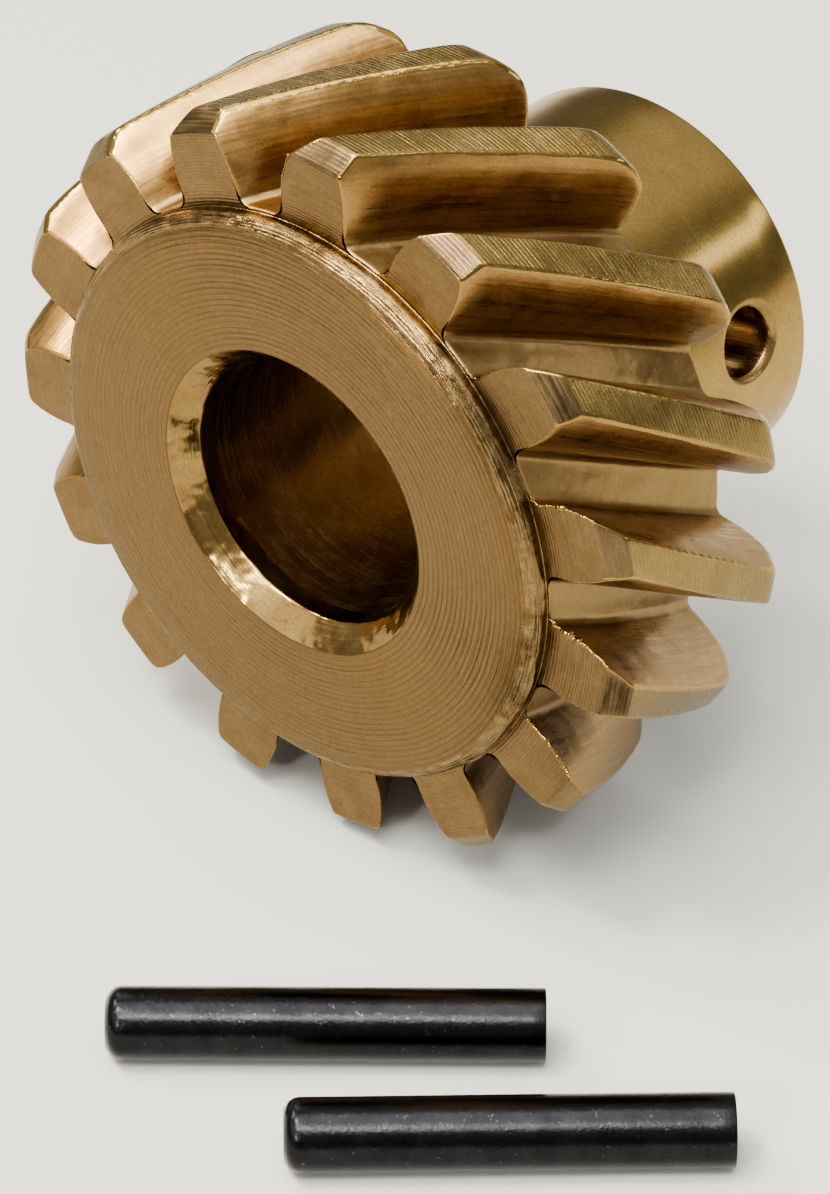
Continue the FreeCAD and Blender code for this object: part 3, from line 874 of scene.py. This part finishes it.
def build_burrs(name, burred):
    """Ragged lips of metal left by the cutter along the front edges of some tooth flanks."""
    shape = bmesh.new()
    radius, angle = half_gap(land_radius(TOOTH_FRONT), 0.02, 0.08)
    at = np.arange(len(radius))
    for gap, side, first, last, size in burred:
        steps = int((last - first) * 110)
        share = np.linspace(first, last, steps) * (len(radius) - LAND_STEPS - 2)
        turn = np.radians(FIRST_GAP + gap * PITCH + side * np.interp(share, at, angle))
        beads = np.abs(smooth_noise(steps, 2.3)) ** 1.5 * np.abs(smooth_noise(steps, 9.0))
        width = size * (0.35 + 1.7 * beads) * np.sin(np.linspace(0, math.pi, steps)) ** 0.3
        r = np.interp(share, at, radius) + size * 0.6 * smooth_noise(steps, 3.0)
        y = TOOTH_FRONT + 0.3 * size * smooth_noise(steps, 4.0)
        add_burr(shape, np.stack([r * np.cos(turn), y, r * np.sin(turn)], 1), width)
    bmesh.ops.recalc_face_normals(shape, faces=shape.faces[:])
    mesh = bpy.data.meshes.new(name)
    shape.to_mesh(mesh)
    shape.free()
    mesh.materials.append(MATERIALS["corner"])
    return add_piece(name, mesh, weighted=False)


# Gap number counter-clockwise from the first, side of the gap, start and end along the flank, size in mm.
BURRED_EDGES = [
    (-3, -1, 0.15, 1.0, 0.14), (-4, -1, 0.2, 1.0, 0.19), (-5, -1, 0.25, 0.95, 0.19),
    (-2, -1, 0.05, 0.5, 0.05), (-1, -1, 0.1, 0.4, 0.05), (0, -1, 0.5, 1.0, 0.06),
]

# ---------------------------------------------------------------- pieces
gear = build_gear()
for region in REGIONS:
    gear.data.materials.append(MATERIALS[region])
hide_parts("helical_gear")
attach(gear, "gear")

burrs = build_burrs("edge_burrs", BURRED_EDGES)
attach(burrs, "gear")

for cad_node, (body, heading, slot_turn) in PINS.items():
    pin = build_pin("steel_" + body, cad_node, heading, slot_turn)
    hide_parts(cad_node)
    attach(pin, body)

# ---------------------------------------------------------------- stage
FLOOR_COLOUR = (0.475, 0.475, 0.47, 1)
floor_z = gear_low.z


def build_floor():
    """The pale sheet that the gear stands on."""
    bpy.ops.mesh.primitive_plane_add(size=3.0, location=(0, 0, floor_z))
    plane = bpy.context.object
    plane.name = "pale_floor"
    material = bpy.data.materials.new("pale_floor")
    material.use_nodes = True
    shader = material.node_tree.nodes["Principled BSDF"]
    shader.inputs["Base Color"].default_value = FLOOR_COLOUR
    shader.inputs["Roughness"].default_value = 0.9
    shader.inputs["Specular IOR Level"].default_value = 0.1
    plane.data.materials.append(material)


build_floor()


def soft_light(name, direction, elevation, distance, width, height, radiance, colour=(1, 1, 1)):
    """An area light aimed at the gear, with its direction and elevation in degrees, and sizes in metres.

    Direction is measured from -Y towards +X.
    """
    data = bpy.data.lights.new(name, "AREA")
    data.shape = "RECTANGLE"
    data.size = width
    data.size_y = height
    data.energy = radiance * math.pi * width * height
    data.color = colour
    lamp = bpy.data.objects.new(name, data)
    bpy.context.scene.collection.objects.link(lamp)
    side, up = math.radians(direction), math.radians(elevation)
    place = Vector((math.sin(side) * math.cos(up), -math.cos(side) * math.cos(up), math.sin(up))) * distance
    lamp.location = place
    lamp.rotation_euler = (-place).to_track_quat("-Z", "Y").to_euler()
    return lamp


overhead = soft_light("overhead", 8, 67.3, 0.39, 0.34, 0.416, 7.4, (1.0, 0.99, 0.93))
overhead.rotation_euler = (0, 0, math.radians(40.6))  # It hangs level.
soft_light("front_left", -20, 34, 0.5, 0.56, 0.20, 2.6)
soft_light("back_left", 245, 42, 0.5, 0.10, 0.26, 5.3)
soft_light("strip_back_right", 134, 24, 0.5, 0.30, 0.06, 5.3)
soft_light("lamp_right", 85, 50, 0.5, 0.05, 0.05, 15.8)
soft_light("key", 26, 56, 0.40, 0.15, 0.08, 39.5, (1.0, 0.97, 0.82))
soft_light("key_left", 335, 65, 0.40, 0.09, 0.06, 125.0, (1.0, 0.90, 0.62))
soft_light("spark", 12, 28, 0.5, 0.045, 0.045, 157.9, (1.0, 0.97, 0.85))
soft_light("lamp_left", 283, 45, 0.5, 0.08, 0.06, 125.0, (1.0, 0.90, 0.62))


# The studio's light against the sine of the elevation.
SKY_LEVELS = ((0.0, 0.22), (0.26, 0.24), (0.5, 0.32), (0.707, 0.42), (0.866, 0.55), (1.0, 0.62))
SKY_STRENGTH = 2.9
# Where the studio is dark: direction, cosines where the patch starts and is full, share of light left.
DARK_PATCHES = [
    ((0.651, -0.759, 0.0), 0.55, 0.95, 0.7),
    ((0.684, 0.614, 0.392), 0.86, 0.95, 0.4),
    ((-0.70, 0.62, 0.35), 0.90, 0.98, 0.4),
]


def build_world():
    """A soft studio dome, dim near the horizon and in some patches, brighter overhead."""
    world = bpy.data.worlds.new("studio")
    bpy.context.scene.world = world
    world.use_nodes = True
    tree = world.node_tree
    background = tree.nodes["Background"]
    direction = node(tree, "ShaderNodeTexCoord").outputs["Generated"]
    parts = node(tree, "ShaderNodeSeparateXYZ")
    link(tree, direction, parts.inputs[0])
    ramp_node = node(tree, "ShaderNodeValToRGB")
    elements = ramp_node.color_ramp.elements
    elements[0].position, elements[1].position = SKY_LEVELS[0][0], SKY_LEVELS[-1][0]
    for position, _ in SKY_LEVELS[1:-1]:
        elements.new(position)
    for element, (_, level) in zip(elements, SKY_LEVELS):
        element.color = (level, level, level * 0.94, 1)
    link(tree, parts.outputs["Z"], ramp_node.inputs["Fac"])
    light = ramp_node.outputs["Color"]
    for towards, start, full, level in DARK_PATCHES:
        light = scaled(tree, light, ramp(tree, dot(tree, direction, towards), start, full, 1.0, level))
    link(tree, light, background.inputs["Color"])
    background.inputs["Strength"].default_value = SKY_STRENGTH


build_world()

# ---------------------------------------------------------------- camera
ELEVATION = math.radians(36.01)
HEADING = math.radians(40.63)
DISTANCE = 248.51 * MM
LENS = 153.43
AIM = Vector((-7.509 * MM, 4.674 * MM, floor_z))
forward = Vector((-math.sin(HEADING) * math.cos(ELEVATION), math.cos(HEADING) * math.cos(ELEVATION),
                  -math.sin(ELEVATION)))
camera_data = bpy.data.cameras.new("camera")
camera_data.sensor_width = 36.0
camera_data.lens = LENS
camera_data.clip_start = 0.01
camera_data.clip_end = 10.0
camera = bpy.data.objects.new("camera", camera_data)
bpy.context.scene.collection.objects.link(camera)
camera.location = AIM - forward * DISTANCE
camera.rotation_euler = forward.to_track_quat("-Z", "Y").to_euler()
bpy.context.scene.camera = camera
